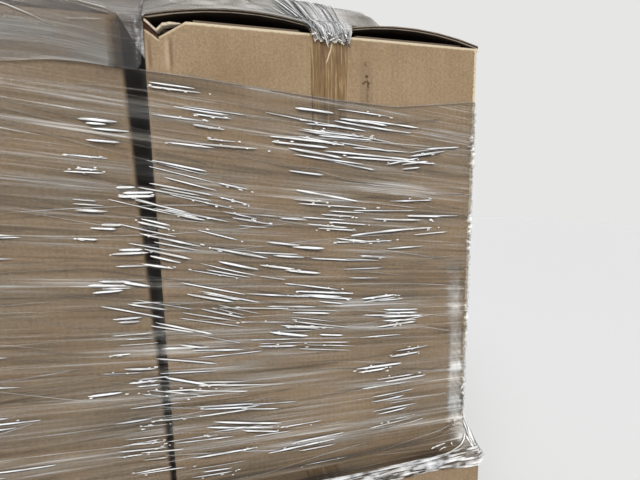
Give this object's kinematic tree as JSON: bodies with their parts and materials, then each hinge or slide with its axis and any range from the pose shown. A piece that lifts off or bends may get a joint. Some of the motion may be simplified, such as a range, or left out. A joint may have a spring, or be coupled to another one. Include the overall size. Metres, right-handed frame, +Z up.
{
  "type": "wrapped pallet load",
  "caption": "Tall cardboard cartons in two tiers on a wooden block pallet, held together by clear stretch film, with fork entry from all four sides.",
  "frame": {"origin": "centre of the pallet's footprint, on the floor", "axes": "+Z up, X across the pallet's short front, +Y into the load from the front"},
  "size_m": [1.0036, 1.2036, 1.4295],
  "materials": {
    "corrugated_board": "matte",
    "packing_tape": "satin",
    "stretch_film": "gloss",
    "pallet_wood": "matte",
    "packed_goods": "matte"
  },
  "bodies": {
    "root": {"block_back_centre": "pallet_wood", "block_back_left": "pallet_wood", "block_back_right": "pallet_wood", "block_front_centre": "pallet_wood", "block_front_left": "pallet_wood", "block_front_right": "pallet_wood", "block_middle_centre": "pallet_wood", "block_middle_left": "pallet_wood", "block_middle_right": "pallet_wood", "bottom_board_centre": "pallet_wood", "bottom_board_left": "pallet_wood", "bottom_board_right": "pallet_wood", "deck_board_1": "pallet_wood", "deck_board_2": "pallet_wood", "deck_board_3": "pallet_wood", "deck_board_4": "pallet_wood", "deck_board_5": "pallet_wood", "deck_board_6": "pallet_wood", "deck_board_7": "pallet_wood", "lower_carton_back_left": "corrugated_board", "lower_carton_back_right": "corrugated_board", "lower_carton_front_left": "corrugated_board", "lower_carton_front_right": "corrugated_board", "lower_film": "stretch_film", "lower_goods_back_left": "packed_goods", "lower_goods_back_right": "packed_goods", "lower_goods_front_left": "packed_goods", "lower_goods_front_right": "packed_goods", "lower_tape_back_left": "packing_tape", "lower_tape_back_right": "packing_tape", "lower_tape_front_left": "packing_tape", "lower_tape_front_right": "packing_tape", "stringer_board_back": "pallet_wood", "stringer_board_front": "pallet_wood", "stringer_board_middle": "pallet_wood", "top_film": "stretch_film", "upper_carton_back_left": "corrugated_board", "upper_carton_back_right": "corrugated_board", "upper_carton_front_left": "corrugated_board", "upper_carton_front_right": "corrugated_board", "upper_film": "stretch_film", "upper_goods_back_left": "packed_goods", "upper_goods_back_right": "packed_goods", "upper_goods_front_left": "packed_goods", "upper_goods_front_right": "packed_goods", "upper_tape_back_left": "packing_tape", "upper_tape_back_right": "packing_tape", "upper_tape_front_left": "packing_tape", "upper_tape_front_right": "packing_tape"}
  },
  "joints": []
}
